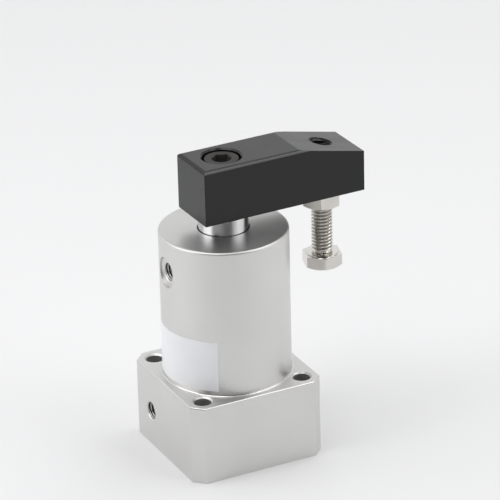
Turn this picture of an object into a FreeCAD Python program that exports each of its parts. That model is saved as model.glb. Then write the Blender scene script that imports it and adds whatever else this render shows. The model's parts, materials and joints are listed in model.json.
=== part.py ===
import FreeCAD
import Part
import math
import os

# Swing clamp cylinder, in millimetres. The origin is the centre of the block's underside,
# +Z is the way the rod comes out, and +X is the way the arm points when it clamps.
# Every piece is drawn with the rod drawn in and the arm clamping.

# Body
block_margin = 2.0
block_height = 23.0
block_corner = 3.0
block_edge = 0.4
hole_edge = 4.75
mount_hole_d = 4.8
mount_hole_chamfer = 0.45
bore_d = 25.0
barrel_wall = 5.5
barrel_edge = 0.7
base_fillet = 0.5
head_thickness = 17.2

# Ports
port_thread_d = 5.0
port_depth = 6.0
port_chamfer = 0.3
spotface_d = 8.8
spotface_depth = 0.9
passage_d = 2.5
passage_wall = 0.5
low_port_y = 8.5
high_port_rise = 7.4

# Travel of the rod and turn of the arm
stroke = 22.0
swing_angle = 90.0

# Rear cover and what holds it
cover_step = 1.0
cover_flange = 5.8
cover_land = 1.0
cover_boss_d = 20.0
cover_boss_height = 5.2
ring_recess = 1.0
ring_thickness = 1.2
ring_bite = 0.7
ring_width = 2.4
ring_mouth_angle = 36.0
ring_lug_d = 5.0
ring_lug_hole_d = 2.0
cover_pin_d = 2.0
cover_pin_web = 0.3

# Bumpers
bumper_thickness = 2.0
bumper_gap = 0.3
low_bumper_clearance = 0.6

# Piston
piston_height = 9.0
piston_land = 1.0
seal_width = 3.0
seal_depth = 2.5
seal_lip = 0.6
seal_waist = 0.5
wear_ring_width = 2.4
wear_ring_depth = 1.2
wear_ring_slit = 0.3

# Rod
rod_d = 14.0
neck_step = 1.0
hollow_d = 8.2
piston_nut_wall = 2.5
piston_nut_thickness = 2.5
piston_nut_sink = 0.2
piston_nut_gap = 0.2
nut_slot_width = 2.5
nut_slot_depth = 1.2
spigot_step = 1.5
spigot_flat_depth = 1.0
spigot_height = 5.0
rod_edge = 0.5

# Guide shaft and pins
guide_gap = 0.1
guide_pin_d = 3.0
guide_pin_rise = 2.4
groove_gap = 0.1
groove_floor = 2.4
guide_seat = 4.2
guide_web = 2.6
guide_flat = 3.2
guide_flat_height = 1.6
guide_overrun = 1.0
guide_land = 1.0
hollow_end_gap = 1.5

# Bushing and rod seals
bushing_wall = 1.0
bushing_length = 8.0
rod_seal_depth = 3.0
rod_seal_height = 2.8
rod_seal_lip = 0.75
rod_seal_throat = 1.4
wiper_depth = 2.0
wiper_height = 2.2
wiper_slope = 0.65
wiper_lip_width = 0.8
head_land = 0.8
head_gap = 0.3
wiper_lip_sink = 0.2

# Arm
arm_gap = 4.8
arm_back = 9.4
arm_length = 49.3
arm_width = 16.0
arm_thickness = 16.1
arm_tip_thickness = 11.7
arm_crease = 20.0
arm_top_edge = 1.0
arm_edge = 0.25
arm_set_angle = 1.06
tip_edge = 9.2
tip_hole_edge = 0.35

# Thread sizes and their heads, all six millimetre
thread_d = 6.0
thread_hole_gap = 0.05
screw_head_d = 10.0
screw_head_height = 6.0
screw_length = 16.0
screw_socket = 5.0
screw_socket_depth = 3.0
screw_socket_mouth = 0.2
screw_socket_turn = 32.5
screw_sink = 0.6
screw_edge = 0.3
counterbore_gap = 0.4
counterbore_edge = 0.45
screw_hole_gap = 0.2
screw_hole_spare = 2.0
hex_flats = 10.0
hex_face_share = 0.95
hex_chamfer_angle = 30.0
thin_nut_height = 3.2
lock_nut_height = 5.0
nut_recess_gap = 0.3
bolt_head_height = 4.0
bolt_length = 30.0
bolt_reach = 19.3
bolt_head_turn = 14.3
bolt_end_chamfer = 0.6

# Rings of rubber cord
cord_d = 1.4
small_cord_d = 0.9
groove_side_gap = 0.15

# Label, blank
label_width = 34.5
label_height = 14.8
label_rise = 1.5
label_edge_angle = -124.0
label_thickness = 0.12

# Fits, each a gap on the radius or between faces
slide_fit = 0.05
press_fit_gap = 0.01
seat_gap = 0.02
hub_play = 0.05
cord_seat_gap = 0.03

# How far a cutter reaches past a face, and how close counts as the same place
cut_over = 1.0
same_place = 0.001

# Radii worked out from the sizes above
bore_r = bore_d / 2
barrel_r = bore_r + barrel_wall
rod_r = rod_d / 2
neck_r = rod_r - neck_step
spigot_r = rod_r - spigot_step
piston_nut_r = neck_r + piston_nut_wall
head_hole_r = rod_r + head_gap
hollow_r = hollow_d / 2
guide_r = hollow_r - guide_gap
guide_pin_r = guide_pin_d / 2
thread_r = thread_d / 2
thread_hole_r = thread_r + thread_hole_gap
cover_r = bore_r + cover_step
cover_groove_r = cover_r - cord_d - 2 * cord_seat_gap
boss_r = cover_boss_d / 2
passage_r = passage_d / 2
passage_x = -(bore_r - passage_wall - passage_r)
counterbore_r = screw_head_d / 2 + counterbore_gap
screw_hole_r = thread_r + screw_hole_gap
nut_recess_r = hex_flats / math.sqrt(3) + nut_recess_gap
bushing_r = rod_r + bushing_wall

# Places across the body and the arm
block_side = 2 * (barrel_r + block_margin)
hole_pitch = block_side - 2 * hole_edge
arm_tip_x = arm_length - arm_back
clamp_bolt_x = arm_tip_x - tip_edge

# Heights worked out from the sizes above, from the underside up
ring_z = ring_recess
cover_z = ring_z + ring_thickness
cover_seat_z = cover_z + cover_flange
cover_groove_top_z = cover_seat_z - cover_land
cover_groove_z = cover_groove_top_z - cord_d - 2 * groove_side_gap
cover_pin_top_z = cover_groove_z - cover_pin_web
boss_top_z = cover_seat_z + cover_boss_height
piston_z = boss_top_z + bumper_thickness + bumper_gap
piston_top_z = piston_z + piston_height
bore_top_z = piston_top_z + stroke + bumper_gap + bumper_thickness
barrel_top_z = bore_top_z + head_thickness
arm_z = barrel_top_z + arm_gap
arm_top_z = arm_z + arm_thickness
low_port_z = (cover_seat_z + boss_top_z) / 2
high_port_z = bore_top_z + high_port_rise
piston_nut_z = piston_z + piston_nut_sink
piston_nut_top_z = piston_nut_z + piston_nut_thickness
guide_pin_z = piston_nut_top_z + guide_pin_rise
guide_seat_z = boss_top_z - guide_seat
guide_groove_top_z = boss_top_z - guide_land
guide_groove_z = guide_groove_top_z - small_cord_d - 2 * groove_side_gap
guide_top_z = guide_pin_z + stroke + guide_pin_r + guide_overrun
hollow_top_z = guide_top_z + hollow_end_gap
spigot_top_z = arm_z + spigot_height
screw_seat_z = arm_top_z - screw_sink - screw_head_height
wiper_z = barrel_top_z - head_land - wiper_height
rod_seal_z = wiper_z - head_land - rod_seal_height
guide_nut_seat_z = guide_seat_z - guide_web
guide_nut_z = guide_nut_seat_z - thin_nut_height
bolt_z = arm_z - bolt_reach - bolt_head_height
bolt_seat_z = bolt_z + bolt_head_height

Vector = FreeCAD.Vector
origin = Vector(0, 0, 0)
up = Vector(0, 0, 1)


def disc(radius, low, high, x=0.0, y=0.0):
    """Upright cylinder between two heights."""
    return Part.makeCylinder(radius, high - low, Vector(x, y, low))


def turned(outline, angle=360.0):
    """Solid turned about Z from corners given as radius and height."""
    corners = [Vector(radius, 0, height) for radius, height in outline]
    face = Part.Face(Part.makePolygon(corners + corners[:1]))
    return face.revolve(origin, up, angle)


def tube(outer, inner, low, high):
    """Ring of rectangular section."""
    return turned([(inner, low), (outer, low), (outer, high), (inner, high)])


def across(radius, start_x, end_x, y, z):
    """Cylinder along X between two places."""
    return Part.makeCylinder(radius, end_x - start_x, Vector(start_x, y, z), Vector(1, 0, 0))


def cone_across(big_r, small_r, start_x, end_x, y, z):
    """Cone along X, for the chamfer of a port."""
    return Part.makeCone(big_r, small_r, end_x - start_x, Vector(start_x, y, z), Vector(1, 0, 0))


def hexagon(flats, low, high, turn):
    """Hexagonal prism with a corner turned from +X."""
    corner_r = flats / math.sqrt(3)
    angles = [math.radians(turn + 60 * k) for k in range(6)]
    corners = [Vector(corner_r * math.cos(a), corner_r * math.sin(a), low) for a in angles]
    face = Part.Face(Part.makePolygon(corners + corners[:1]))
    return face.extrude(Vector(0, 0, high - low))


def hex_form(flats, low, high, turn, both_ends):
    """Hexagon with its corners chamfered at the low end, or at both."""
    wide_r = flats / math.sqrt(3) + cut_over
    face_r = hex_face_share * flats / 2
    drop = (wide_r - face_r) * math.tan(math.radians(hex_chamfer_angle))
    outline = [(0, low), (face_r, low), (wide_r, low + drop)]
    if both_ends:
        outline += [(wide_r, high - drop), (face_r, high), (0, high)]
    else:
        outline += [(wide_r, high), (0, high)]
    return hexagon(flats, low, high, turn).common(turned(outline))


def cord_ring(outer_r, cord, z):
    """Ring of rubber cord that just clears the wall round it."""
    section_r = cord / 2
    return Part.makeTorus(outer_r - cord_seat_gap - section_r, section_r, Vector(0, 0, z), up)


def on_rod(shape):
    """Turns a piece about the rod by the angle at which the arm was tightened."""
    return shape.rotated(origin, up, arm_set_angle)


def chamfered_square():
    """Flange block with cut corners and a rounded top edge."""
    half = block_side / 2
    inner = half - block_corner
    corners = [(half, -inner), (half, inner), (inner, half), (-inner, half),
               (-half, inner), (-half, -inner), (-inner, -half), (inner, -half)]
    points = [Vector(x, y, 0) for x, y in corners]
    block = Part.Face(Part.makePolygon(points + points[:1])).extrude(Vector(0, 0, block_height))
    rim = [edge for edge in block.Edges
           if all(abs(v.Z - block_height) < same_place for v in edge.Vertexes)]
    return block.makeFillet(block_edge, rim)


def barrel():
    """Round barrel with its foot fillet and its rounded top edge."""
    foot_r = barrel_r + base_fillet
    foot_bend = base_fillet * (1 - math.sqrt(0.5))
    foot_start = Vector(foot_r, 0, block_height)
    foot_middle = Vector(barrel_r + foot_bend, 0, block_height + foot_bend)
    foot_end = Vector(barrel_r, 0, block_height + base_fillet)
    rim_bend = barrel_edge * (1 - math.sqrt(0.5))
    rim_start = Vector(barrel_r, 0, barrel_top_z - barrel_edge)
    rim_middle = Vector(barrel_r - rim_bend, 0, barrel_top_z - rim_bend)
    rim_end = Vector(barrel_r - barrel_edge, 0, barrel_top_z)
    rest = Part.makePolygon([
        rim_end,
        Vector(0, 0, barrel_top_z),
        Vector(0, 0, block_height / 2),
        Vector(foot_r, 0, block_height / 2),
        foot_start])
    outline = [Part.Arc(foot_start, foot_middle, foot_end).toShape(),
               Part.makeLine(foot_end, rim_start),
               Part.Arc(rim_start, rim_middle, rim_end).toShape()]
    return Part.Face(Part.Wire(outline + rest.Edges)).revolve(origin, up, 360)


def body_hollow():
    """Everything turned out of the inside of the body, as one solid."""
    ring_r = cover_r + ring_bite
    groove_r = rod_r + rod_seal_depth
    wiper_r = rod_r + wiper_depth
    return turned([
        (0, -cut_over),
        (cover_r, -cut_over),
        (cover_r, ring_z),
        (ring_r, ring_z),
        (ring_r, cover_z),
        (cover_r, cover_z),
        (cover_r, cover_seat_z),
        (bore_r, cover_seat_z),
        (bore_r, bore_top_z),
        (bushing_r, bore_top_z),
        (bushing_r, bore_top_z + bushing_length),
        (head_hole_r, bore_top_z + bushing_length),
        (head_hole_r, rod_seal_z),
        (groove_r, rod_seal_z),
        (groove_r, rod_seal_z + rod_seal_height),
        (head_hole_r, rod_seal_z + rod_seal_height),
        (head_hole_r, wiper_z),
        (wiper_r, wiper_z),
        (wiper_r, wiper_z + wiper_height),
        (head_hole_r, wiper_z + wiper_height),
        (head_hole_r, barrel_top_z + cut_over),
        (0, barrel_top_z + cut_over)])


def mount_holes():
    """The through holes at the block's corners, each with a chamfered mouth."""
    radius = mount_hole_d / 2
    wide = radius + mount_hole_chamfer
    cutters = []
    for x in (-hole_pitch / 2, hole_pitch / 2):
        for y in (-hole_pitch / 2, hole_pitch / 2):
            cutters.append(disc(radius, -cut_over, block_height + cut_over, x, y))
            mouth = Vector(x, y, block_height - mount_hole_chamfer)
            cutters.append(Part.makeCone(radius, wide, mount_hole_chamfer, mouth))
    return cutters


def low_port():
    """Threaded port in the block's side and its way into the space under the piston."""
    radius = port_thread_d / 2
    face_x = -block_side / 2
    floor_x = face_x + port_depth
    way_in = math.sqrt(bore_r ** 2 - (low_port_y + passage_r) ** 2)
    return [
        across(radius, face_x - cut_over, floor_x, low_port_y, low_port_z),
        cone_across(radius + port_chamfer, radius, face_x, face_x + port_chamfer, low_port_y, low_port_z),
        across(passage_r, floor_x - cut_over, -way_in + cut_over, low_port_y, low_port_z)]


def high_port():
    """Threaded port in the barrel on its own flat, and the way down past the bushing."""
    radius = port_thread_d / 2
    flat_x = -barrel_r + spotface_depth
    floor_x = max(flat_x + port_depth, passage_x)
    outside_x = -barrel_r - cut_over
    return [
        across(spotface_d / 2, outside_x, flat_x, 0, high_port_z),
        across(radius, outside_x, floor_x, 0, high_port_z),
        cone_across(radius + port_chamfer, radius, flat_x, flat_x + port_chamfer, 0, high_port_z),
        disc(passage_r, bore_top_z - cut_over, high_port_z, passage_x)]


def cover_pin_slot(gap):
    """Pin at the joint between the cover's rim and the body, half in each."""
    return disc(cover_pin_d / 2 + gap, cover_z, cover_pin_top_z + gap, 0, cover_r)


def cylinder_body():
    """Flange block and barrel in one piece, bored from below."""
    cutters = [body_hollow(), cover_pin_slot(seat_gap)]
    cutters += mount_holes() + low_port() + high_port()
    return chamfered_square().fuse(barrel()).cut(cutters).removeSplitter()


def rod_bushing():
    """Plain bearing bush that carries the rod in the head."""
    outer = bushing_r - press_fit_gap
    return tube(outer, rod_r + slide_fit, bore_top_z, bore_top_z + bushing_length - seat_gap)


def rod_seal():
    """Lip seal in the head, with its lips towards the pressure below."""
    inner = rod_r + slide_fit
    outer = rod_r + rod_seal_depth - seat_gap
    low = rod_seal_z + seat_gap
    high = rod_seal_z + rod_seal_height - seat_gap
    middle = (inner + outer) / 2
    return turned([
        (inner, low),
        (inner + rod_seal_lip, low),
        (middle, low + rod_seal_throat),
        (outer - rod_seal_lip, low),
        (outer, low),
        (outer, high),
        (inner, high)])


def rod_wiper():
    """Wiper whose thin lip fills the gap round the rod at the top face."""
    inner = rod_r + slide_fit
    outer = rod_r + wiper_depth - seat_gap
    lip_r = head_hole_r - seat_gap
    low = wiper_z + seat_gap
    high = wiper_z + wiper_height - seat_gap
    return turned([
        (inner, low + wiper_slope),
        (inner + wiper_lip_width, low),
        (outer, low),
        (outer, high),
        (lip_r, high),
        (lip_r, barrel_top_z - wiper_lip_sink),
        (inner, barrel_top_z - wiper_lip_sink)])


def upper_bumper():
    """Cushion under the head, small enough to leave the air passage open."""
    outer = -passage_x - passage_r - seat_gap
    return tube(outer, rod_r + bumper_gap, bore_top_z - bumper_thickness, bore_top_z)


def lower_bumper():
    """Cushion on the cover's boss, where the piston comes down."""
    inner = guide_r + low_bumper_clearance
    return tube(boss_r - bumper_gap, inner, boss_top_z, boss_top_z + bumper_thickness)


def rear_cover():
    """Turned plug that closes the bore and carries the guide shaft."""
    rim = cover_r - seat_gap
    body = turned([
        (nut_recess_r, cover_z),
        (rim, cover_z),
        (rim, cover_groove_z),
        (cover_groove_r, cover_groove_z),
        (cover_groove_r, cover_groove_top_z),
        (rim, cover_groove_top_z),
        (rim, cover_seat_z),
        (boss_r, cover_seat_z),
        (boss_r, boss_top_z),
        (guide_r + seat_gap, boss_top_z),
        (guide_r + seat_gap, guide_seat_z),
        (thread_hole_r, guide_seat_z),
        (thread_hole_r, guide_nut_seat_z),
        (nut_recess_r, guide_nut_seat_z)])
    return body.fuse(guide_flat_land()).cut(cover_pin_slot(seat_gap)).removeSplitter()


def guide_flat_land():
    """The land in the cover's seat that stops the guide shaft from turning."""
    low = guide_seat_z
    high = guide_seat_z + guide_flat_height
    seat = disc(guide_r + 2 * seat_gap, low, high)
    beyond = Part.makeBox(guide_r * 2, guide_r * 4, high - low)
    beyond.translate(Vector(guide_flat + seat_gap, -guide_r * 2, low))
    return seat.common(beyond)


def rear_cover_o_ring():
    """Rubber ring in the cover's rim."""
    return cord_ring(cover_r, cord_d, (cover_groove_z + cover_groove_top_z) / 2)


def rear_cover_pin():
    """Short pin that stops the cover from turning in the body."""
    return cover_pin_slot(0)


def retaining_ring():
    """Sprung ring in the bore's groove, with a mouth and two eyed lugs."""
    outer = cover_r + ring_bite - seat_gap
    inner = cover_r - ring_width
    low = ring_z + seat_gap
    high = cover_z - seat_gap
    half_mouth = math.radians(ring_mouth_angle / 2)
    reach = outer * 2
    mouth = Part.Face(Part.makePolygon([
        Vector(0, 0, ring_z),
        Vector(reach, -reach * math.tan(half_mouth), ring_z),
        Vector(reach, reach * math.tan(half_mouth), ring_z),
        Vector(0, 0, ring_z)])).extrude(Vector(0, 0, ring_thickness))
    ring = tube(outer, inner, low, high).cut(mouth)
    lug_r = ring_lug_d / 2
    lug_at = outer - lug_r
    lug_angle = half_mouth + lug_r / lug_at
    for side in (-1, 1):
        x = lug_at * math.cos(lug_angle)
        y = side * lug_at * math.sin(lug_angle)
        ring = ring.fuse(disc(lug_r, low, high, x, y))
        ring = ring.cut(disc(ring_lug_hole_d / 2, ring_z, cover_z, x, y))
    return ring.removeSplitter()


def guide_groove(start_angle):
    """Cutter for one helical groove that turns the pins by the swing over the stroke."""
    lead = stroke * 360.0 / swing_angle
    low = guide_pin_z - guide_pin_r - guide_overrun
    high = guide_top_z + guide_overrun
    helix = Part.makeHelix(lead, high - low, guide_r)
    slope = math.atan(2 * math.pi * guide_r / lead)
    half = guide_pin_r + groove_gap
    side = Vector(0, math.cos(slope), -math.sin(slope)) * half
    inner = Vector(groove_floor, 0, 0)
    outer = Vector(guide_r + cut_over, 0, 0)
    section = Part.makePolygon([inner - side, outer - side, outer + side, inner + side, inner - side])
    cutter = Part.Wire(helix.Edges).makePipeShell([section], True, True)
    cutter.rotate(origin, up, start_angle + (low - guide_pin_z) * 360.0 / lead)
    cutter.translate(Vector(0, 0, low))
    return cutter


def guide_shaft():
    """Fixed shaft inside the hollow rod: two helical grooves, a flatted foot and a threaded tail."""
    groove_r = guide_r - small_cord_d - 2 * cord_seat_gap
    shaft = turned([
        (0, guide_nut_z),
        (thread_r, guide_nut_z),
        (thread_r, guide_seat_z),
        (guide_r, guide_seat_z),
        (guide_r, guide_groove_z),
        (groove_r, guide_groove_z),
        (groove_r, guide_groove_top_z),
        (guide_r, guide_groove_top_z),
        (guide_r, guide_top_z - rod_edge),
        (guide_r - rod_edge, guide_top_z),
        (0, guide_top_z)])
    flat = Part.makeBox(guide_r, guide_r * 4, guide_flat_height + seat_gap)
    flat.translate(Vector(guide_flat, -guide_r * 2, guide_seat_z))
    return shaft.cut([flat, guide_groove(0), guide_groove(180)])


def guide_shaft_o_ring():
    """Rubber ring that seals the guide shaft in the cover."""
    return cord_ring(guide_r, small_cord_d, (guide_groove_z + guide_groove_top_z) / 2)


def hex_nut(low, height):
    """Hexagon nut for the six millimetre thread, with a corner on +X."""
    nut = hex_form(hex_flats, low, low + height, 0, True)
    return nut.cut(disc(thread_hole_r, low, low + height))


def guide_shaft_nut():
    """Nut in the cover's recess that pulls the guide shaft on to its seat."""
    return hex_nut(guide_nut_z, thin_nut_height)


def piston():
    """Aluminium piston between the rod's shoulder and the ring nut."""
    outer = bore_r - slide_fit - seat_gap
    seal_low = piston_top_z - piston_land - seal_width
    wear_low = piston_z + piston_land
    recess_r = piston_nut_r + piston_nut_gap
    seat_z = piston_nut_top_z + hub_play
    bore = neck_r + slide_fit
    cord_high = piston_top_z - piston_land / 2
    cord_low = cord_high - small_cord_d - 2 * groove_side_gap
    cord_r = bore + small_cord_d
    return turned([
        (recess_r, piston_z),
        (outer, piston_z),
        (outer, wear_low),
        (bore_r - wear_ring_depth, wear_low),
        (bore_r - wear_ring_depth, wear_low + wear_ring_width),
        (outer, wear_low + wear_ring_width),
        (outer, seal_low),
        (bore_r - seal_depth, seal_low),
        (bore_r - seal_depth, seal_low + seal_width),
        (outer, seal_low + seal_width),
        (outer, piston_top_z),
        (bore, piston_top_z),
        (bore, cord_high),
        (cord_r, cord_high),
        (cord_r, cord_low),
        (bore, cord_low),
        (bore, seat_z),
        (recess_r, seat_z)])


def piston_seal():
    """Double lip seal in the piston's upper groove."""
    outer = bore_r - slide_fit
    inner = bore_r - seal_depth + seat_gap
    low = piston_top_z - piston_land - seal_width + seat_gap
    high = piston_top_z - piston_land - seat_gap
    middle = (low + high) / 2
    return turned([
        (inner, low),
        (outer, low),
        (outer, low + seal_lip),
        (outer - seal_waist, middle),
        (outer, high - seal_lip),
        (outer, high),
        (inner, high)])


def wear_ring():
    """Plastic guide ring in the piston's lower groove, slit once as it is fitted."""
    low = piston_z + piston_land + seat_gap
    ring = tube(bore_r - slide_fit, bore_r - wear_ring_depth + seat_gap, low,
                piston_z + piston_land + wear_ring_width - seat_gap)
    slit = Part.makeBox(bore_r, wear_ring_slit, piston_height)
    slit.translate(Vector(0, 0, piston_z))
    return ring.cut(slit)


def piston_o_ring():
    """Rubber ring between the piston and the rod's neck."""
    z = piston_top_z - piston_land / 2 - groove_side_gap - small_cord_d / 2
    return cord_ring(neck_r + slide_fit + small_cord_d + cord_seat_gap, small_cord_d, z)


def piston_rod():
    """Chromed rod: hollow over the guide shaft, necked for the piston, flatted for the arm."""
    shoulder_z = piston_top_z + hub_play
    rod = turned([
        (hollow_r, piston_nut_z),
        (neck_r, piston_nut_z),
        (neck_r, shoulder_z),
        (rod_r - rod_edge, shoulder_z),
        (rod_r, shoulder_z + rod_edge),
        (rod_r, arm_z - rod_edge),
        (rod_r - rod_edge, arm_z),
        (0, arm_z),
        (0, hollow_top_z),
        (hollow_r, hollow_top_z)])
    screw_end_z = screw_seat_z - screw_length
    tapped = disc(thread_hole_r, screw_end_z - screw_hole_spare, spigot_top_z + cut_over)
    cutters = [tapped] + [guide_pin(angle, hollow_r / 2, rod_r, 0) for angle in (0, 180)]
    return rod.fuse(on_rod(spigot(0))).cut(cutters).removeSplitter()


def spigot(gap):
    """The rod's flatted end, or with a gap the pocket that takes it."""
    round_end = disc(spigot_r + gap, arm_z - gap, spigot_top_z + gap)
    width = 2 * (spigot_r - spigot_flat_depth + gap)
    slab = Part.makeBox(rod_d, width, spigot_height + 2 * cut_over)
    slab.translate(Vector(-rod_r, -width / 2, arm_z - cut_over))
    return round_end.common(slab)


def guide_pin(angle, inner, outer, gap):
    """One pin that points at the rod's axis."""
    pin = across(guide_pin_r + gap, inner, outer, 0, guide_pin_z)
    return pin.rotated(origin, up, angle)


def guide_pins():
    """The two pins in the rod's wall, whose ends run in the guide shaft's grooves."""
    inner = groove_floor + 2 * groove_gap
    trim = disc(neck_r - groove_gap, piston_z, piston_top_z)
    pins = [guide_pin(angle, inner, neck_r, -press_fit_gap).common(trim) for angle in (0, 180)]
    return Part.makeCompound(pins)


def piston_nut():
    """Slotted ring nut on the rod's neck."""
    nut = tube(piston_nut_r, neck_r + press_fit_gap, piston_nut_z, piston_nut_top_z)
    for angle in (0, 90, 180, 270):
        slot = Part.makeBox(nut_slot_depth + cut_over, nut_slot_width, piston_nut_thickness)
        slot.translate(Vector(piston_nut_r - nut_slot_depth, -nut_slot_width / 2, piston_nut_z))
        nut = nut.cut(slot.rotated(origin, up, angle))
    return nut


def edges_along(shape, way, height):
    """The straight edges of a shape that run along a level direction at a height."""
    found = []
    for edge in shape.Edges:
        first, last = edge.Vertexes[0].Point, edge.Vertexes[-1].Point
        if (last - first).cross(way).Length < same_place and abs(first.z - height) < same_place:
            found.append(edge)
    return found


def rounded_bar(way):
    """The arm's bar with its edges along one level direction rounded: well at the top, lightly below."""
    bar = Part.makeBox(arm_length, arm_width, arm_thickness, Vector(-arm_back, -arm_width / 2, arm_z))
    bar = bar.makeFillet(arm_top_edge, edges_along(bar, way, arm_top_z))
    return bar.makeFillet(arm_edge, edges_along(bar, way, arm_z))


def arm_blank():
    """Bar with round top edges, whose tip was then milled down at a slope."""
    tip_z = arm_z + arm_tip_thickness
    fall = (arm_top_z - tip_z) / (arm_tip_x - arm_crease)
    past_x = arm_tip_x + cut_over
    outline = [(arm_crease, arm_top_z), (past_x, tip_z - fall * cut_over),
               (past_x, arm_top_z + cut_over), (arm_crease, arm_top_z + cut_over)]
    corners = [Vector(x, -arm_width, z) for x, z in outline]
    milled_off = Part.Face(Part.makePolygon(corners + corners[:1])).extrude(Vector(0, 2 * arm_width, 0))
    return rounded_bar(Vector(1, 0, 0)).common(rounded_bar(Vector(0, 1, 0))).cut(milled_off)


def tip_hole_mouth():
    """Cutter that breaks the edge of the bolt's hole, square to the arm's sloped tip."""
    slope = math.atan((arm_thickness - arm_tip_thickness) / (arm_tip_x - arm_crease))
    middle = Vector(clamp_bolt_x, 0, arm_top_z - (clamp_bolt_x - arm_crease) * math.tan(slope))
    way_out = Vector(math.sin(slope), 0, math.cos(slope))
    foot = middle - way_out * tip_hole_edge
    return Part.makeCone(thread_hole_r, thread_hole_r + 2 * tip_hole_edge, 2 * tip_hole_edge, foot, way_out)


def clamp_arm():
    """Steel arm with its screw's counterbore, the rod's pocket and the tapped tip."""
    cutters = [
        disc(counterbore_r, screw_seat_z, arm_top_z + cut_over),
        disc(screw_hole_r, arm_z, screw_seat_z + cut_over),
        spigot(seat_gap),
        disc(thread_hole_r, arm_z - cut_over, arm_top_z + cut_over, clamp_bolt_x),
        tip_hole_mouth()]
    mouth = Vector(0, 0, arm_top_z - counterbore_edge)
    cutters.append(Part.makeCone(counterbore_r, counterbore_r + counterbore_edge, counterbore_edge, mouth))
    return on_rod(arm_blank().cut(cutters).removeSplitter())


def arm_screw():
    """Socket head screw that holds the arm on the rod."""
    head_r = screw_head_d / 2
    head_top = screw_seat_z + screw_head_height
    tip_z = screw_seat_z - screw_length
    screw = turned([
        (0, tip_z),
        (thread_r - bolt_end_chamfer, tip_z),
        (thread_r, tip_z + bolt_end_chamfer),
        (thread_r, screw_seat_z),
        (head_r, screw_seat_z),
        (head_r, head_top - screw_edge),
        (head_r - screw_edge, head_top),
        (0, head_top)])
    socket = hexagon(screw_socket, head_top - screw_socket_depth, head_top + cut_over, screw_socket_turn)
    socket_r = screw_socket / 2
    mouth = Part.makeCone(socket_r, socket_r + 2 * screw_socket_mouth, screw_socket_mouth,
                          Vector(0, 0, head_top - screw_socket_mouth))
    return on_rod(screw.cut([socket, mouth]))


def lock_nut():
    """Nut tight under the arm on the clamp bolt."""
    nut = hex_nut(arm_z - lock_nut_height, lock_nut_height)
    nut.translate(Vector(clamp_bolt_x, 0, 0))
    return on_rod(nut)


def clamp_bolt():
    """Hexagon bolt, head down, whose head presses on the work."""
    head = hex_form(hex_flats, bolt_z, bolt_seat_z, bolt_head_turn, False)
    end_z = bolt_seat_z + bolt_length
    shank = turned([
        (0, bolt_z + cut_over),
        (thread_r, bolt_z + cut_over),
        (thread_r, end_z - bolt_end_chamfer),
        (thread_r - bolt_end_chamfer, end_z),
        (0, end_z)])
    bolt = head.fuse(shank).removeSplitter()
    bolt.translate(Vector(clamp_bolt_x, 0, 0))
    return on_rod(bolt)


def label():
    """Blank label wrapped round the barrel above the block."""
    inner = barrel_r + press_fit_gap
    low = block_height + label_rise
    outline = [(inner, low), (inner + label_thickness, low),
               (inner + label_thickness, low + label_height), (inner, low + label_height)]
    arc = math.degrees(label_width / barrel_r)
    return turned(outline, arc).rotated(origin, up, label_edge_angle - arc)


pieces = [
    cylinder_body, rod_bushing, rod_seal, rod_wiper, upper_bumper, lower_bumper, rear_cover,
    rear_cover_o_ring, rear_cover_pin, retaining_ring, guide_shaft, guide_shaft_o_ring,
    guide_shaft_nut, label, piston, piston_seal, wear_ring, piston_o_ring, piston_rod,
    guide_pins, piston_nut, clamp_arm, arm_screw, lock_nut, clamp_bolt]

os.makedirs("parts", exist_ok=True)
for piece in pieces:
    piece().exportStep("parts/" + piece.__name__ + ".step")
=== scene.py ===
import json
import math

import bpy
from mathutils import Matrix, Vector

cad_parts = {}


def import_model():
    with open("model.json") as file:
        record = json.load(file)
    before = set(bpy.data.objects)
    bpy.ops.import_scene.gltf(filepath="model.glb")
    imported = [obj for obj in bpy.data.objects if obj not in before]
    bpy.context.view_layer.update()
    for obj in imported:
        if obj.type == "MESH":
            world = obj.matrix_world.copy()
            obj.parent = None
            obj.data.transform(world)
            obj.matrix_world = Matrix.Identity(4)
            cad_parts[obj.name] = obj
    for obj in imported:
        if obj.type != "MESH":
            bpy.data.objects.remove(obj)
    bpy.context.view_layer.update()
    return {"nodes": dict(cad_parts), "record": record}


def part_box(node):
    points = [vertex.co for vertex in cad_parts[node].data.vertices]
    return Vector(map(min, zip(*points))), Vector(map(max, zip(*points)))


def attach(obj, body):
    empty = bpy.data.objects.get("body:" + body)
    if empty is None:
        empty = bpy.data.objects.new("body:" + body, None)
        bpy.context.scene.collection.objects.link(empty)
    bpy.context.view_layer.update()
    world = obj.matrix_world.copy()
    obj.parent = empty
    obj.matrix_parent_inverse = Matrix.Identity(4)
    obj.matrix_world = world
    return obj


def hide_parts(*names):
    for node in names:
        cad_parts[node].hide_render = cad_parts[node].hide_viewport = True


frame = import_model()


# --------------------------------------------------------- sizes and places
# Lengths are in millimetres. What the frame holds is read from it. The block's,
# the arm's and the screws' other sizes are those of the model's source. The
# threads, the washer face and the edges of the finishes are this scene's own.

MM = 0.001
nodes = frame["nodes"]
mounts = {row["name"]: row for row in frame["record"]["mounts"]}


def in_mm(place):
    """A place in metres, in millimetres and without the last bits of a short float."""
    return [round(value / MM, 4) for value in place]


def foot_of(node):
    return in_mm(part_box(node)[0])[2]


def top_of(node):
    return in_mm(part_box(node)[1])[2]


# Block and barrel
BLOCK_TOP = 23.0
BLOCK_EDGE = 0.4
BASE_FILLET = 0.5
BARREL_TOP = top_of("cylinder_body")
HOLE_PLACE = mounts["mounting_holes"]["dims"]["spacing_x_mm"] / 2
HOLE_R = mounts["mounting_holes"]["dims"]["hole_r_mm"]
HOLE_CHAMFER = 0.45

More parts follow.
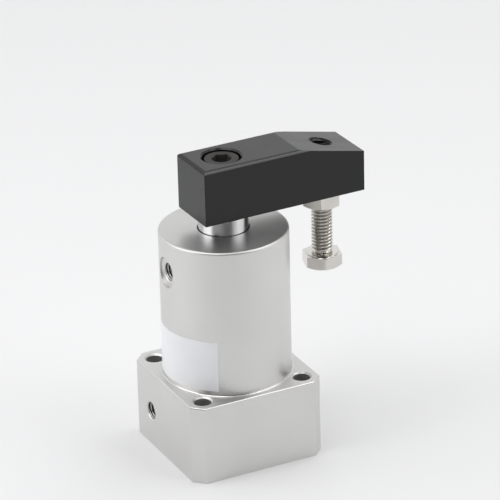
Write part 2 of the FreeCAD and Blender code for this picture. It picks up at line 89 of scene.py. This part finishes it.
# Ports, with the mouth of each thread
PORT_MOUTHS = {name: in_mm(mounts[name]["pos_m"]) for name in ("low_port", "high_port")}
PORT_R = mounts["low_port"]["dims"]["r_mm"]
PORT_PITCH = 0.8
PORT_SLEEVE = 5.2

# Arm and its screw
ARM_LOW = foot_of("clamp_arm")
ARM_TOP = top_of("clamp_arm")
CREASE_X = 20.0
TIP_X = 39.9
TIP_THICKNESS = 11.7
TIP_SINK = 0.4
SCREW_TOP = top_of("arm_screw")
SOCKET_FLATS = 5.0

# Clamp bolt, which stands where the record's clamp pad is, and so gives the arm's turn too
PAD = in_mm(mounts["clamp_pad"]["pos_m"])
BOLT_X = round(math.hypot(PAD[0], PAD[1]), 2)
ARM_TURN = round(math.degrees(math.atan2(PAD[1], PAD[0])), 2)
BOLT_LOW = foot_of("clamp_bolt")
BOLT_END = top_of("clamp_bolt")
BOLT_CREST_R = 2.99
BOLT_PITCH = 1.0
BOLT_HOLE_R = 3.05
BOLT_CHAMFER = 0.62
HEAD_FLATS = 10.0
HEAD_FACE_R = 4.75
HEAD_TURN = 14.3
HEAD_HEIGHT = 4.0
WASHER_HEIGHT = 0.3
WASHER_FOOT_R = 4.6
WASHER_TOP_R = 4.5
CHAMFER_ANGLE = 30.0
BOLT_SEAT = BOLT_LOW + HEAD_HEIGHT

# A 60 degree thread, as shares of its pitch
CREST = 0.0625
CREST_FLAT = 0.7
ROOT = 0.375
ROOT_ROUND = 0.035
BEND = 0.02
THREAD_DEPTH = 0.5413
SPARE_TURNS = 2

# Threads in holes: how far a ridge's foot, least height and back go past the wall
RIDGE_FOOT = 0.01
RIDGE_LEAST = 0.005
RIDGE_BACK = 0.02
LEAD_SLOPE = 2.0
LEAD_LOW = 0.3

# Points round a bolt and round a hole, and the angle in degrees from which an edge is sharp
BOLT_COUNT = 72
HOLE_COUNT = 60
SHARP_ANGLE = 40.0

# A noise node's result lies mostly between these two
NOISE_LOW = 0.3
NOISE_HIGH = 0.7

# Where a finish, a painted shade or a painted light changes: how far from the size beside it
FACE_SINK = 0.07
HOLE_MARGIN = 0.05
HOLE_FADE = 0.1
# Sizes of the painted shade in the ports' and the bolt's thread grooves
GROOVE_INSIDE = 0.22
GROOVE_OUTSIDE = 0.15
GROOVE_PAST_SLEEVE = 0.2
BOLT_GROOVE_R = 2.65
BOLT_RUN_OUT = 1.1
BOLT_END_LAND = 0.1
# The painted highlight on the arm's edges
HIGHLIGHT_FROM_Y = 6.45
HIGHLIGHT_SIDEWAYS = (0.62, 0.72)
HIGHLIGHT_UPWARDS = (0.12, 0.22)
# The painted light in the screw's socket
SOCKET_MARGIN = 0.038
SOCKET_SINK = 0.075


# ---------------------------------------------------------------- materials

class Shader:
    """A node material made of Blender's own procedural nodes, in object coordinates."""

    sockets = {"color": "Base Color", "metallic": "Metallic", "roughness": "Roughness", "ior": "IOR",
               "specular": "Specular IOR Level", "rotation": "Anisotropic Rotation"}

    def __init__(self, name, **values):
        self.material = bpy.data.materials.new(name)
        self.material.use_nodes = True
        self.tree = self.material.node_tree
        self.tree.nodes.clear()
        output = self.tree.nodes.new("ShaderNodeOutputMaterial")
        self.surface = self.tree.nodes.new("ShaderNodeBsdfPrincipled")
        self.link(self.surface.outputs["BSDF"], output.inputs["Surface"])
        self.place = self.tree.nodes.new("ShaderNodeTexCoord").outputs["Object"]
        for key, value in values.items():
            self.surface.inputs[self.sockets[key]].default_value = value

    def link(self, source, target):
        self.tree.links.new(source, target)

    def feed(self, value, target):
        """A number goes into the socket itself, and another node's result is linked to it."""
        if isinstance(value, (int, float)):
            target.default_value = value
        else:
            self.link(value, target)

    def noise(self, scale, detail, stretch=None):
        """Cloudy noise, drawn out where stretch isn't the same in all directions."""
        node = self.tree.nodes.new("ShaderNodeTexNoise")
        node.inputs["Scale"].default_value = scale
        node.inputs["Detail"].default_value = detail
        source = self.place
        if stretch:
            mapping = self.tree.nodes.new("ShaderNodeMapping")
            mapping.inputs["Scale"].default_value = stretch
            self.link(source, mapping.inputs["Vector"])
            source = mapping.outputs["Vector"]
        self.link(source, node.inputs["Vector"])
        return node.outputs["Fac"]

    def rings(self, scale):
        """Noise that changes with the distance from the rod's axis alone: turning marks."""
        node = self.tree.nodes.new("ShaderNodeTexNoise")
        node.noise_dimensions = "1D"
        node.inputs["Scale"].default_value = scale
        node.inputs["Detail"].default_value = 3.0
        self.link(self.distance((0, 0, 0), (1, 1, 0)), node.inputs["W"])
        return node.outputs["Fac"]

    def remap(self, value, from_low, from_high, to_low, to_high):
        node = self.tree.nodes.new("ShaderNodeMapRange")
        self.link(value, node.inputs["Value"])
        for name, number in (("From Min", from_low), ("From Max", from_high),
                             ("To Min", to_low), ("To Max", to_high)):
            node.inputs[name].default_value = number
        return node.outputs["Result"]

    def spread(self, noise, low, high):
        """A noise's usual range becomes the range from low to high."""
        return self.remap(noise, NOISE_LOW, NOISE_HIGH, low, high)

    def blend(self, mask, off, on):
        """One number where a mask is 0, and another where it is 1."""
        return self.remap(mask, 0.0, 1.0, off, on)

    def rise(self, value, at, blur):
        """0 below a length and 1 above it."""
        return self.remap(value, (at - blur) * MM, (at + blur) * MM, 0.0, 1.0)

    def fall(self, value, at, blur):
        """1 below a length and 0 above it."""
        return self.remap(value, (at - blur) * MM, (at + blur) * MM, 1.0, 0.0)

    def maths(self, operation, a, b=0.0):
        node = self.tree.nodes.new("ShaderNodeMath")
        node.operation = operation
        self.feed(a, node.inputs[0])
        self.feed(b, node.inputs[1])
        return node.outputs["Value"]

    def all_of(self, *masks):
        """1 where every mask is 1."""
        whole = masks[0]
        for mask in masks[1:]:
            whole = self.maths("MULTIPLY", whole, mask)
        return whole

    def axes(self):
        """X, Y and Z of the place in the object's own frame."""
        node = self.tree.nodes.new("ShaderNodeSeparateXYZ")
        self.link(self.place, node.inputs["Vector"])
        return node.outputs

    def normal(self):
        """X, Y and Z of the surface's direction."""
        node = self.tree.nodes.new("ShaderNodeSeparateXYZ")
        self.link(self.tree.nodes.new("ShaderNodeNewGeometry").outputs["Normal"], node.inputs["Vector"])
        return node.outputs

    def distance(self, centre, across):
        """Distance from an axis through a centre. across is 1 in each direction that counts."""
        offset = self.tree.nodes.new("ShaderNodeVectorMath")
        offset.operation = "SUBTRACT"
        self.link(self.place, offset.inputs[0])
        offset.inputs[1].default_value = [c * MM for c in centre]
        flat = self.tree.nodes.new("ShaderNodeVectorMath")
        flat.operation = "MULTIPLY"
        self.link(offset.outputs["Vector"], flat.inputs[0])
        flat.inputs[1].default_value = across
        length = self.tree.nodes.new("ShaderNodeVectorMath")
        length.operation = "LENGTH"
        self.link(flat.outputs["Vector"], length.inputs[0])
        return length.outputs["Value"]

    def tint(self, value, dark, light, low=NOISE_LOW, high=NOISE_HIGH, groove_shade=None):
        """Base colour that wanders between two colours, and may fall at 0 to a third one, the painted shade
        in thread grooves.
        """
        node = self.tree.nodes.new("ShaderNodeValToRGB")
        ramp = node.color_ramp.elements
        ramp[0].position = low
        ramp[1].position = high
        ramp[0].color = dark + (1,)
        ramp[1].color = light + (1,)
        if groove_shade:
            ramp.new(0.0).color = groove_shade + (1,)
        self.link(value, node.inputs["Fac"])
        self.link(node.outputs["Color"], self.surface.inputs["Base Color"])

    def rough(self, value):
        """Roughness from a node."""
        self.link(value, self.surface.inputs["Roughness"])

    def bump(self, height, strength, depth, after=None):
        """Relief of a depth in millimetres, laid over an earlier one if there is one."""
        node = self.tree.nodes.new("ShaderNodeBump")
        node.inputs["Distance"].default_value = depth * MM
        self.link(height, node.inputs["Height"])
        self.feed(strength, node.inputs["Strength"])
        if after:
            self.link(after, node.inputs["Normal"])
        self.link(node.outputs["Normal"], self.surface.inputs["Normal"])
        return node.outputs["Normal"]


def away_from_holes(s):
    """0 round the block's four mounting holes and 1 elsewhere."""
    axes = s.axes()
    clear = HOLE_R + HOLE_CHAMFER + HOLE_MARGIN
    across, along = [s.maths("SUBTRACT", s.maths("ABSOLUTE", axes[name]), HOLE_PLACE * MM) for name in "XY"]
    far = s.maths("ADD", s.maths("MULTIPLY", across, across), s.maths("MULTIPLY", along, along))
    return s.remap(far, (clear * MM) ** 2, ((clear + HOLE_FADE) * MM) ** 2, 0.0, 1.0)


def machined_edges(s, height):
    """1 on the brighter edges that a cutter left round the block's top and the barrel's foot."""
    off_top = s.maths("ABSOLUTE", s.maths("SUBTRACT", height, BLOCK_TOP * MM))
    above_sides = s.rise(height, at=BLOCK_TOP - BLOCK_EDGE, blur=0.02)
    below_barrel = s.fall(height, at=BLOCK_TOP + BASE_FILLET, blur=0.05)
    not_on_top = s.rise(off_top, at=0.0055, blur=0.0045)
    return s.all_of(above_sides, below_barrel, not_on_top, away_from_holes(s))


def port_groove_shade(s):
    """1 in the grooves of both ports' threads, where shade is painted into the colour."""
    masks = []
    for mouth in PORT_MOUTHS.values():
        away = s.distance((0, mouth[1], mouth[2]), (0, 1, 1))
        outside = s.rise(away, at=PORT_R - GROOVE_INSIDE, blur=0.08)
        inside = s.fall(away, at=PORT_R + GROOVE_OUTSIDE, blur=0.08)
        masks.append(s.all_of(outside, inside))
    either = s.maths("MAXIMUM", masks[0], masks[1])
    inner_x = PORT_MOUTHS["high_port"][0] + PORT_SLEEVE + GROOVE_PAST_SLEEVE
    return s.all_of(either, s.fall(s.axes()["X"], at=inner_x, blur=0.1))


def bolt_groove_shade(s):
    """1 in the grooves of the clamp bolt's thread, where shade is painted into the colour."""
    height = s.axes()["Z"]
    deep = s.fall(s.distance((PAD[0], PAD[1], 0), (1, 1, 0)), at=BOLT_GROOVE_R, blur=0.15)
    past_head = s.rise(height, at=BOLT_SEAT + BOLT_RUN_OUT, blur=0.02)
    below_end = s.fall(height, at=BOLT_END - BOLT_END_LAND, blur=0.02)
    return s.all_of(deep, past_head, below_end)


def edge_highlight(s):
    """1 on the lower half of the rounded edges between the arm's top and its sides, where a highlight is
    painted.
    """
    normal = s.normal()
    sideways = s.remap(s.maths("ABSOLUTE", normal["Y"]), *HIGHLIGHT_SIDEWAYS, 0.0, 1.0)
    upwards = s.remap(normal["Z"], *HIGHLIGHT_UPWARDS, 0.0, 1.0)
    outward = s.rise(s.maths("ABSOLUTE", s.axes()["Y"]), at=HIGHLIGHT_FROM_Y, blur=0.05)
    return s.all_of(sideways, upwards, outward)


def socket_light(s):
    """1 on the walls and the floor of the arm screw's hexagon socket, where light is painted into the shade.
    """
    corner_r = SOCKET_FLATS / math.sqrt(3)
    within = s.fall(s.distance((0, 0, 0), (1, 1, 0)), at=corner_r + SOCKET_MARGIN, blur=0.025)
    sunk = s.fall(s.axes()["Z"], at=SCREW_TOP - SOCKET_SINK, blur=0.025)
    return s.all_of(within, sunk)


def body_shader(name):
    """Bead blasted and anodised outside, with the barrel's top face turned bright."""
    s = Shader(name, metallic=1.0, rotation=0.25)
    height = s.axes()["Z"]
    face = s.rise(height, at=BARREL_TOP - FACE_SINK, blur=0.03)
    mottle = s.spread(s.noise(60.0, 2.0), 0.7, 0.9)
    value = s.maths("SUBTRACT", mottle, s.blend(face, 0.0, 0.5))
    s.tint(value, (0.605, 0.6, 0.592), (0.73, 0.725, 0.715), low=0.1, high=1.0)
    smoother = s.blend(machined_edges(s, height), 0.0, 0.22)
    s.rough(s.maths("SUBTRACT", s.blend(face, 0.44, 0.38), smoother))
    grain = s.bump(s.noise(9000.0, 2.0), strength=s.blend(face, 0.12, 0.0), depth=0.04)
    s.bump(s.rings(26000.0), strength=s.blend(face, 0.0, 0.1), depth=0.02, after=grain)
    s.link(s.blend(face, 0.0, 0.35), s.surface.inputs["Anisotropic"])
    tangent = s.tree.nodes.new("ShaderNodeTangent")
    tangent.direction_type = "RADIAL"
    tangent.axis = "Z"
    s.link(tangent.outputs["Tangent"], s.surface.inputs["Tangent"])
    return s.material


def turned_shader(name):
    """Aluminium with turning marks, and painted shade in the grooves of the ports' threads."""
    s = Shader(name, metallic=1.0)
    value = s.maths("SUBTRACT", s.noise(80.0, 2.0), port_groove_shade(s))
    s.tint(value, (0.64, 0.64, 0.63), (0.69, 0.69, 0.68), groove_shade=(0.08, 0.08, 0.08))
    s.rough(s.spread(s.rings(5000.0), 0.22, 0.32))
    s.bump(s.rings(9000.0), strength=0.15, depth=0.03)
    return s.material


def chrome_shader(name):
    """Ground and chromed, with the faintest marks round the rod."""
    s = Shader(name, metallic=1.0)
    s.tint(s.noise(90.0, 1.0), (0.8, 0.8, 0.81), (0.83, 0.83, 0.84))
    s.rough(s.spread(s.noise(500.0, 2.0, stretch=(1, 1, 12)), 0.06, 0.1))
    s.bump(s.noise(1500.0, 1.0, stretch=(1, 1, 20)), strength=0.015, depth=0.02)
    return s.material


def steel_shader(name, dark, light, low, high):
    """Metal whose colour and roughness wander a little."""
    s = Shader(name, metallic=1.0)
    s.tint(s.noise(150.0, 3.0), dark, light)
    s.rough(s.spread(s.noise(400.0, 3.0), low, high))
    s.bump(s.noise(2500.0, 2.0), strength=0.08, depth=0.04)
    return s.material


def nickel_shader(name):
    """Bright plating, with painted shade in the grooves of the clamp bolt's thread."""
    s = Shader(name, metallic=1.0)
    value = s.maths("SUBTRACT", s.noise(150.0, 3.0), bolt_groove_shade(s))
    s.tint(value, (0.64, 0.62, 0.585), (0.71, 0.69, 0.655), groove_shade=(0.3, 0.28, 0.25))
    s.rough(s.spread(s.noise(400.0, 3.0), 0.07, 0.12))
    s.bump(s.noise(3000.0, 2.0), strength=0.03, depth=0.04)
    return s.material


def oxide_shader(name, dark, light, low, high, pale, ior):
    """Black oxide: nearly black from straight on, grey at a slant, and paler where pale lays on painted
    light: a painted highlight on edges or painted light in a socket.
    """
    s = Shader(name, metallic=0.0, ior=ior)
    wander = s.maths("MULTIPLY", s.noise(120.0, 3.0), 0.02)
    s.tint(s.maths("ADD", wander, pale(s)), dark, light, low=0.0, high=1.0)
    s.rough(s.spread(s.noise(300.0, 4.0, stretch=(0.4, 1, 1)), low, high))
    s.bump(s.noise(2200.0, 2.0), strength=0.06, depth=0.04)
    return s.material


def matt_shader(name, dark, light, low, high, grain, strength):
    """Rubber, plastic or film."""
    s = Shader(name, metallic=0.0)
    s.tint(s.noise(200.0, 2.0), dark, light)
    s.rough(s.spread(s.noise(700.0, 2.0), low, high))
    s.bump(s.noise(grain, 2.0), strength, depth=0.04)
    return s.material


shaders = {
    "body_aluminium": body_shader("body_aluminium"),
    "plain_aluminium": turned_shader("plain_aluminium"),
    "rod_chrome": chrome_shader("rod_chrome"),
    "plain_steel": steel_shader("plain_steel", (0.42, 0.42, 0.43), (0.48, 0.48, 0.49), 0.26, 0.36),
    "spring_steel": steel_shader("spring_steel", (0.1, 0.1, 0.105), (0.14, 0.14, 0.145), 0.36, 0.48),
    "nickel_steel": nickel_shader("nickel_steel"),
    # black_steel has a painted highlight on the arm's edges, black_screw painted light in its socket
    "black_steel": oxide_shader("black_steel", (0.002, 0.002, 0.002), (0.11, 0.11, 0.112), 0.2, 0.28,
                                edge_highlight, 1.45),
    "black_screw": oxide_shader("black_screw", (0.009, 0.008, 0.0075), (0.055, 0.049, 0.046), 0.2, 0.3,
                                socket_light, 1.26),
    "bearing_bronze": steel_shader("bearing_bronze", (0.45, 0.31, 0.15), (0.51, 0.35, 0.17), 0.35, 0.45),
    "seal_rubber": matt_shader("seal_rubber", (0.018, 0.018, 0.018), (0.022, 0.022, 0.022), 0.51, 0.59,
                               3000.0, 0.1),
    "guide_plastic": matt_shader("guide_plastic", (0.14, 0.09, 0.055), (0.18, 0.11, 0.065), 0.41, 0.49,
                                 3000.0, 0.1),
    "label_film": matt_shader("label_film", (0.86, 0.865, 0.885), (0.88, 0.885, 0.905), 0.36, 0.44,
                              1200.0, 0.02),
}

slot_of = {row["node"]: row["material_slot"] for row in frame["record"]["subparts"]}
for name, node in nodes.items():
    if not node.material_slots:
        node.data.materials.append(shaders[slot_of[name]])
    for holder in node.material_slots:
        holder.material = shaders[slot_of[name]]


# ------------------------------------------------------------------- meshes

def show(name, data):
    """An object in the scene, made of a mesh, a lamp or a camera."""
    made = bpy.data.objects.new(name, data)
    bpy.context.scene.collection.objects.link(made)
    return made


def piece(name, points, faces, body, slot):
    """A mesh from points in millimetres, that rides on a body and has a slot's finish."""
    mesh = bpy.data.meshes.new(name)
    mesh.from_pydata([tuple(c * MM for c in p) for p in points], [], faces)
    mesh.validate()
    mesh.materials.append(shaders[slot])
    mesh.polygons.foreach_set("use_smooth", [True] * len(mesh.polygons))
    mesh.set_sharp_from_angle(angle=math.radians(SHARP_ANGLE))
    mesh.update()
    made = show(name, mesh)
    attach(made, body)
    return made


class Sheet:
    """Points and faces gathered ring by ring, with equal points used once."""

    def __init__(self):
        self.points = []
        self.faces = []
        self.seen = {}

    def point(self, p):
        """The number of a point, which is added if it is new."""
        key = tuple(round(c, 4) for c in p)
        if key not in self.seen:
            self.seen[key] = len(self.points)
            self.points.append(tuple(p))
        return self.seen[key]

    def face(self, corners):
        """A face, unless its corners fall together."""
        ids = []
        for index in [self.point(c) for c in corners]:
            if index not in ids:
                ids.append(index)
        if len(ids) > 2:
            self.faces.append(ids)

    def cap(self, ring):
        """One flat face over a whole ring."""
        self.faces.append([self.point(p) for p in ring])

    def band(self, low_ring, high_ring):
        """Faces between two closed rings of as many points."""
        n = len(low_ring)
        for i in range(n):
            j = (i + 1) % n
            self.face([low_ring[i], low_ring[j], high_ring[j], high_ring[i]])


def circle(radius, heights):
    """Closed ring with a height for each of its points."""
    n = len(heights)
    return [(radius * math.cos(2 * math.pi * i / n), radius * math.sin(2 * math.pi * i / n), z)
            for i, z in enumerate(heights)]


def thread_depth(share, pitch):
    """Depth below the crest, at a share of the pitch from the crest's middle."""
    share = abs((share + 0.5) % 1.0 - 0.5)
    return THREAD_DEPTH * pitch * min(1.0, max(0.0, (share - CREST) / (ROOT - CREST)))


def thread_levels():
    """Shares of the pitch at which the thread's outline bends, with a small round at each bend."""
    half = [CREST * CREST_FLAT, CREST + BEND, (CREST + ROOT) / 2, ROOT - BEND, ROOT + ROOT_ROUND]
    return sorted(half + [1 - h for h in half])


def thread_wall(sheet, radius_at, low, high_at, pitch, count, flip):
    """Helical wall up to a height that may change round the circle. Returns its end rings."""
    last = int(max(high_at(2 * math.pi * i / count) for i in range(count)) / pitch) + SPARE_TURNS
    first = int(low / pitch) - SPARE_TURNS
    columns = []
    for i in range(count + 1):
        angle = 2 * math.pi * i / count
        column = []
        for turn in range(first, last):
            for level in thread_levels():
                z = (turn + level + i / count) * pitch
                z = min(high_at(angle), max(low, z))
                r = radius_at(angle, z)
                column.append((r * math.cos(angle), r * math.sin(angle), z))
        columns.append(column)
    for a, b in zip(columns, columns[1:]):
        for k in range(len(a) - 1):
            corners = [a[k], b[k], b[k + 1], a[k + 1]]
            sheet.face(corners[::-1] if flip else corners)
    return [column[0] for column in columns[:count]], [column[-1] for column in columns[:count]]


def hex_ring(z):
    """Ring round the bolt head's sides, with a corner turned from +X."""
    ring = []
    for i in range(BOLT_COUNT):
        angle = 2 * math.pi * i / BOLT_COUNT
        within = (angle % (math.pi / 3)) - math.pi / 6
        r = HEAD_FLATS / 2 / math.cos(within)
        whole = angle + math.radians(HEAD_TURN)
        ring.append((r * math.cos(whole), r * math.sin(whole), z))
    return ring


def chamfered_ring(ring):
    """Where the head's chamfer cone cuts its sides."""
    slope = math.tan(math.radians(CHAMFER_ANGLE))
    return [(x, y, z + max(0.0, math.hypot(x, y) - HEAD_FACE_R) * slope) for x, y, z in ring]


def face_ring(ring):
    """The edge of the head's flat face, straight inward from a ring's points."""
    return [(HEAD_FACE_R * x / math.hypot(x, y), HEAD_FACE_R * y / math.hypot(x, y), z) for x, y, z in ring]


def from_x(ring):
    """The head's ring again, started at its point nearest to +X."""
    skip = round(HEAD_TURN / 360.0 * len(ring)) % len(ring)
    return ring[-skip:] + ring[:-skip] if skip else ring


def into_arm(p):
    """From the clamp bolt's own axis to its place in the turned arm."""
    turn = math.radians(ARM_TURN)
    x = p[0] + BOLT_X
    return (x * math.cos(turn) - p[1] * math.sin(turn), x * math.sin(turn) + p[1] * math.cos(turn), p[2])


def clamp_bolt():
    """Fully threaded hexagon bolt, head down, with a chamfered end and a run-out at its head."""
    sheet = Sheet()
    root_r = BOLT_CREST_R - THREAD_DEPTH * BOLT_PITCH

    def radius_at(angle, z):
        r = BOLT_CREST_R - thread_depth(z / BOLT_PITCH - angle / (2 * math.pi), BOLT_PITCH)
        return min(r, BOLT_CREST_R - BOLT_CHAMFER + (BOLT_END - z), root_r + (z - BOLT_SEAT))

    sides_low = chamfered_ring(hex_ring(BOLT_LOW))
    sides_high = hex_ring(BOLT_SEAT - WASHER_HEIGHT)
    rim = face_ring(hex_ring(BOLT_LOW))
    sheet.cap(rim[::-1])
    sheet.band(rim, sides_low)
    sheet.band(sides_low, sides_high)
    bottom, top = thread_wall(sheet, radius_at, BOLT_SEAT, lambda a: BOLT_END, BOLT_PITCH, BOLT_COUNT, False)
    washer_foot = circle(WASHER_FOOT_R, [BOLT_SEAT - WASHER_HEIGHT] * BOLT_COUNT)
    washer_top = circle(WASHER_TOP_R, [BOLT_SEAT] * BOLT_COUNT)
    sheet.band(from_x(sides_high), washer_foot)
    sheet.band(washer_foot, washer_top)
    sheet.band(washer_top, bottom)
    sheet.cap(top)
    points = [into_arm(p) for p in sheet.points]
    made = piece("clamp_bolt_threaded", points, sheet.faces, "adjusting_bolt", "nickel_steel")
    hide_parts("clamp_bolt")


def inside_thread(name, wall_r, pitch, low, high_of, place, body, slot):
    """Thread ridges on the wall of a drawn hole, as a thin closed sleeve, made along +Z and then placed."""
    sheet = Sheet()
    crest_r = wall_r - THREAD_DEPTH * pitch

    def radius_at(angle, z):
        r = wall_r + RIDGE_FOOT - thread_depth(z / pitch - angle / (2 * math.pi), pitch)
        lead_in = wall_r - LEAD_SLOPE * (high_of(angle) - z)
        return min(wall_r - RIDGE_LEAST, max(r, crest_r, lead_in, wall_r - (z - low)))

    bottom, top = thread_wall(sheet, radius_at, low, high_of, pitch, HOLE_COUNT, True)
    back_low = circle(wall_r + RIDGE_BACK, [p[2] for p in bottom])
    back_high = circle(wall_r + RIDGE_BACK, [p[2] for p in top])
    sheet.band(back_low, back_high)
    sheet.band(back_high, top)
    sheet.band(bottom, back_low)
    piece(name, [place(p) for p in sheet.points], sheet.faces, body, slot)


def into_port(mouth):
    """A port's hole runs along X, and the sleeve's top is at the foot of its chamfer."""
    return lambda p: (mouth[0] + PORT_SLEEVE - p[2], mouth[1] + p[0], mouth[2] + p[1])


def tip_surface(angle):
    """Height of the arm's sloped tip round the bolt's hole, just under its edge."""
    x = BOLT_X + BOLT_HOLE_R * math.cos(angle)
    slope = (ARM_TOP - ARM_LOW - TIP_THICKNESS) / (TIP_X - CREASE_X)
    return ARM_TOP - (x - CREASE_X) * slope - TIP_SINK


clamp_bolt()
for port, port_mouth in PORT_MOUTHS.items():
    inside_thread(port + "_thread", PORT_R, PORT_PITCH, 0.0, lambda a: PORT_SLEEVE, into_port(port_mouth),
                  "housing", "plain_aluminium")
inside_thread("arm_tip_thread", BOLT_HOLE_R, BOLT_PITCH, ARM_LOW + LEAD_LOW, tip_surface, into_arm,
              "rod_and_arm", "black_steel")


# ------------------------------------------------------- studio and camera
# Metres from here on, as lamps and cameras have them.

LAMP_AIM = Vector((0, 0, 0.045))
CAMERA_AIM = Vector((0, 0, 0.04))
FLOOR_HALF = 1.5
FLOOR_GAP = 0.00002
PALE_FLOOR = (0.86, 0.86, 0.865)
DARK_CARD = (0.04, 0.04, 0.04)

# The photograph's width in pixels, and the sensor's in millimetres
PHOTO_PIXELS = 500.0
SENSOR = 36.0


def facing(azimuth, elevation):
    """The directions back, right and up of a view from an angle in degrees."""
    a, e = math.radians(azimuth), math.radians(elevation)
    back = Vector((math.sin(a) * math.cos(e), -math.cos(a) * math.cos(e), math.sin(e)))
    right = Vector((math.cos(a), math.sin(a), 0.0))
    return back, right, back.cross(right)


def stage_sheet(name, middle, half_right, half_up, color):
    """Flat matt rectangle that isn't part of the object."""
    mesh = bpy.data.meshes.new(name)
    mesh.from_pydata([middle + half_right * i + half_up * j for i, j in ((-1, -1), (1, -1), (1, 1), (-1, 1))],
                     [], [(0, 1, 2, 3)])
    mesh.materials.append(Shader(name, color=color + (1,), roughness=0.8, specular=0.2).material)
    made = show(name, mesh)


def floor():
    """Wide pale floor that the block stands on."""
    stage_sheet("floor", Vector((0, 0, -FLOOR_GAP)), Vector((FLOOR_HALF, 0, 0)), Vector((0, FLOOR_HALF, 0)),
                PALE_FLOOR)


def card(name, azimuth, elevation, distance, width, height):
    """Dark card behind the camera, that the bright metal mirrors."""
    back, right, up = facing(azimuth, elevation)
    stage_sheet(name, LAMP_AIM + back * distance, right * width / 2, up * height / 2, DARK_CARD)


def lamp(name, azimuth, elevation, distance, width, height, radiance):
    """Soft box that looks at the object. Its power is worked out from how bright it looks."""
    back = facing(azimuth, elevation)[0]
    data = bpy.data.lights.new(name, "AREA")
    data.shape = "RECTANGLE"
    data.size = width
    data.size_y = height
    data.energy = radiance * math.pi * width * height
    made = show(name, data)
    made.location = LAMP_AIM + back * distance
    made.rotation_mode = "QUATERNION"
    made.rotation_quaternion = (-back).to_track_quat("-Z", "Y")


def world():
    """Even light from all round, which is also the pale background past the floor."""
    made = bpy.data.worlds.new("studio")
    bpy.context.scene.world = made
    made.use_nodes = True
    tree = made.node_tree
    tree.nodes.clear()
    output = tree.nodes.new("ShaderNodeOutputWorld")
    even = tree.nodes.new("ShaderNodeBackground")
    even.inputs["Color"].default_value = (0.99, 0.995, 1.0, 1)
    even.inputs["Strength"].default_value = 0.7
    tree.links.new(even.outputs["Background"], output.inputs["Surface"])


def camera(azimuth, elevation, roll, distance, aside, above, focal_pixels):
    """Long lens at the photograph's own angle, with its slight roll."""
    roll = math.radians(roll)
    back, right, up = facing(azimuth, elevation)
    right, up = right * math.cos(roll) + up * math.sin(roll), up * math.cos(roll) - right * math.sin(roll)
    place = CAMERA_AIM + back * distance + right * aside + up * above
    data = bpy.data.cameras.new("camera")
    data.sensor_width = SENSOR
    data.lens = focal_pixels * SENSOR / PHOTO_PIXELS
    data.clip_start = 0.05
    data.clip_end = 20.0
    made = show("camera", data)
    made.matrix_world = Matrix((
        (right.x, up.x, back.x, place.x),
        (right.y, up.y, back.y, place.y),
        (right.z, up.z, back.z, place.z),
        (0, 0, 0, 1)))
    bpy.context.scene.camera = made


floor()
world()
lamp("left_box", azimuth=-105.0, elevation=28.0, distance=0.7, width=0.55, height=0.6, radiance=1.2)
lamp("right_box", azimuth=57.0, elevation=25.0, distance=0.75, width=0.5, height=0.6, radiance=0.6)
lamp("back_box", azimuth=150.0, elevation=20.0, distance=0.9, width=1.0, height=0.6, radiance=0.3)
lamp("top_box", azimuth=-67.0, elevation=62.0, distance=0.7, width=0.5, height=0.35, radiance=2.35)
lamp("edge_box", azimuth=40.0, elevation=55.0, distance=0.7, width=0.25, height=0.25, radiance=1.7)
lamp("left_back_box", azimuth=205.0, elevation=24.0, distance=0.8, width=0.35, height=0.4, radiance=0.4)
lamp("facet_box", azimuth=100.0, elevation=58.0, distance=0.7, width=0.35, height=0.35, radiance=1.6)
card("camera_side", azimuth=-31.5, elevation=31.0, distance=1.3, width=2.4, height=1.5)
camera(azimuth=-26.46, elevation=24.65, roll=-1.47, distance=0.91802, aside=0.00667, above=0.01715,
       focal_pixels=3319.03)

bpy.context.scene.view_settings.view_transform = "Standard"
